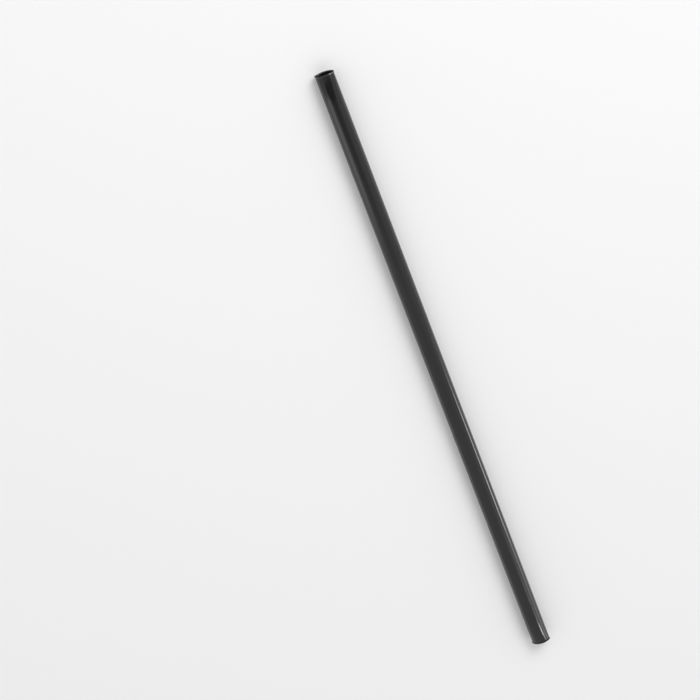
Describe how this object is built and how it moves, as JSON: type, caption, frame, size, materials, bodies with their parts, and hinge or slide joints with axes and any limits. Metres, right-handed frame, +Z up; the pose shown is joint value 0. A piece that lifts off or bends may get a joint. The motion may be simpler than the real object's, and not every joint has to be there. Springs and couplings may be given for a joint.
{
  "type": "plastic drinking straw",
  "caption": "Straight, thin-walled black plastic drinking straw with plain square-cut ends, their mouths slightly flattened, lying on its side.",
  "frame": {"origin": "on the surface that the straw lies on, under its middle", "axes": "+X along the straw to one cut end, +Y across it along the long side of its flattened mouths, +Z up"},
  "size_m": [0.21, 0.0064, 0.006],
  "materials": {
    "black_polypropylene": "glossy extruded black polypropylene with faint lengthwise die lines"
  },
  "bodies": {
    "root": {"straw": "black_polypropylene"}
  },
  "joints": []
}
